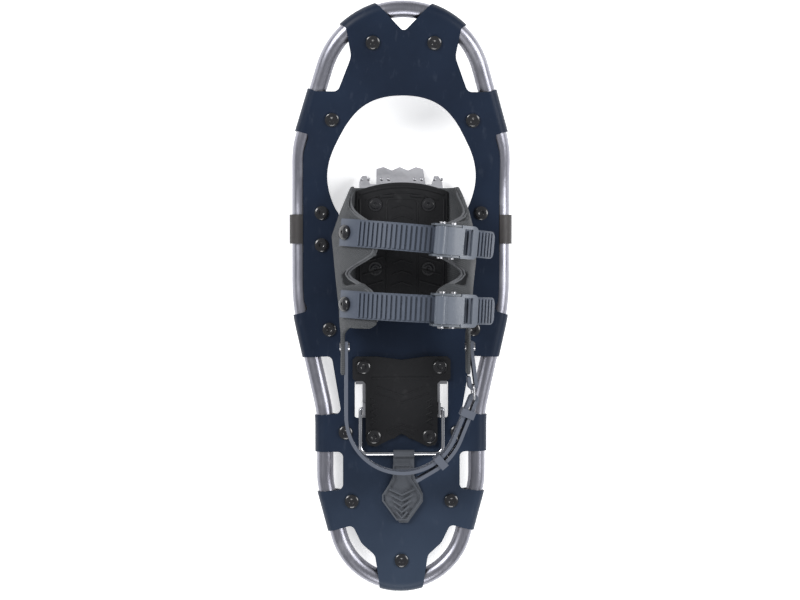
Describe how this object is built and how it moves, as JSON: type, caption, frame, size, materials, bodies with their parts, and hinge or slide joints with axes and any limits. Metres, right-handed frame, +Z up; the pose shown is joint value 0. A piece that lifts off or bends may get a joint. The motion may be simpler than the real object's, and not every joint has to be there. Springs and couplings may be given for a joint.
{
  "type": "snowshoe",
  "caption": "Aluminium tube snowshoe with a sheet deck, toe and heel crampons, a pivoting ratchet binding with heel strap and a wire heel riser with pull tab.",
  "frame": {"origin": "centre of the bounding box in plan, at the tips of the heel teeth, which are the lowest points", "axes": "+Z up from the snow, +Y towards the turned-up toe, +X to the side with the buckles"},
  "size_m": [0.203, 0.533, 0.1262],
  "materials": {
    "frame_tube_alloy": "satin grey anodised",
    "deck_sheet": "navy coated sheet",
    "black_rivet": "black domed",
    "anchor_plastic": "dark moulded",
    "pivot_steel": "plain",
    "bush_plastic": "dark moulded",
    "plate_plastic": "black moulded",
    "crampon_steel": "bright stamped",
    "small_steel": "plain",
    "padded_textile": "grey laminated textile",
    "strap_plastic": "blue-grey moulded",
    "black_screw": "black domed",
    "buckle_plastic": "grey moulded",
    "lever_plastic": "blue-grey moulded",
    "heel_strap_plastic": "grey moulded",
    "bail_chrome": "polished wire",
    "tab_rubber": "mid grey moulded"
  },
  "bodies": {
    "frame": {"frame_tube": "frame_tube_alloy", "tube_splice": "frame_tube_alloy", "deck": "deck_sheet", "deck_rivets_nose": "black_rivet", "deck_rivets_rail": "black_rivet", "pivot_anchor_left": "anchor_plastic", "pivot_anchor_right": "anchor_plastic", "anchor_rivets": "black_rivet", "pivot_rod": "pivot_steel", "pivot_spacers": "pivot_steel", "heel_plate": "plate_plastic", "heel_crampon": "crampon_steel", "heel_rivets": "black_rivet"},
    "binding": {"toe_crampon": "crampon_steel", "pivot_bushes": "bush_plastic", "footplate": "plate_plastic", "footplate_rivets": "black_rivet", "rest_pad": "plate_plastic", "wing_left": "padded_textile", "wing_right": "padded_textile", "strap_front": "strap_plastic", "strap_rear": "strap_plastic", "strap_screw_front": "black_screw", "strap_screw_rear": "black_screw", "buckle_base_front": "buckle_plastic", "buckle_base_rear": "buckle_plastic", "buckle_rivets_front": "small_steel", "buckle_rivets_rear": "small_steel", "buckle_pins_front": "small_steel", "buckle_pins_rear": "small_steel", "pawl_spring_front": "small_steel", "pawl_spring_rear": "small_steel", "heel_hinge_rivets": "small_steel"},
    "heel_strap": {"heel_strap": "heel_strap_plastic", "heel_link": "heel_strap_plastic", "heel_buckle": "small_steel", "strap_keepers": "heel_strap_plastic"},
    "bail": {"bail": "bail_chrome"},
    "tab": {"pull_tab": "tab_rubber"},
    "front_lever": {"buckle_lever_front": "lever_plastic"},
    "rear_lever": {"buckle_lever_rear": "lever_plastic"},
    "front_pawl": {"buckle_pawl_front": "buckle_plastic"},
    "rear_pawl": {"buckle_pawl_rear": "buckle_plastic"}
  },
  "joints": [
    {"name": "binding_pivot", "type": "hinge", "parent": "frame", "child": "binding", "pos_m": [0, 0.065, 0.022], "axis": [-1, 0, 0], "range_deg": [0, 65]},
    {"name": "heel_strap_swing", "type": "hinge", "parent": "binding", "child": "heel_strap", "pos_m": [0, -0.04, 0.065], "axis": [-1, 0, 0], "range_deg": [0, 60]},
    {"name": "bail_fold", "type": "hinge", "parent": "frame", "child": "bail", "pos_m": [0, -0.098, 0.0351], "axis": [-1, 0, 0], "range_deg": [0, 85]},
    {"name": "pull_tab_swing", "type": "hinge", "parent": "bail", "child": "tab", "pos_m": [0, -0.1388, 0.0351], "axis": [-1, 0, 0], "range_deg": [-128, 0]},
    {"name": "front_lever_lift", "type": "hinge", "parent": "binding", "child": "front_lever", "pos_m": [0.02931, 0.0541, 0.12035], "axis": [-0.0872, -0.9962, 0], "range_deg": [0, 85]},
    {"name": "rear_lever_lift", "type": "hinge", "parent": "binding", "child": "rear_lever", "pos_m": [0.02936, -0.00563, 0.12035], "axis": [-0.0506, -0.9987, 0], "range_deg": [0, 85]},
    {"name": "front_pawl_lift", "type": "hinge", "parent": "binding", "child": "front_pawl", "pos_m": [0.03932, 0.05322, 0.11497], "axis": [0.0872, 0.9962, 0], "range_deg": [0, 12], "stiffness_Nm_per_rad": 0.02},
    {"name": "rear_pawl_lift", "type": "hinge", "parent": "binding", "child": "rear_pawl", "pos_m": [0.03939, -0.00614, 0.11497], "axis": [0.0506, 0.9987, 0], "range_deg": [0, 12], "stiffness_Nm_per_rad": 0.02}
  ],
  "couplings": [
    {"joint": "pull_tab_swing", "follows": "bail_fold", "ratio": -1.48}
  ]
}
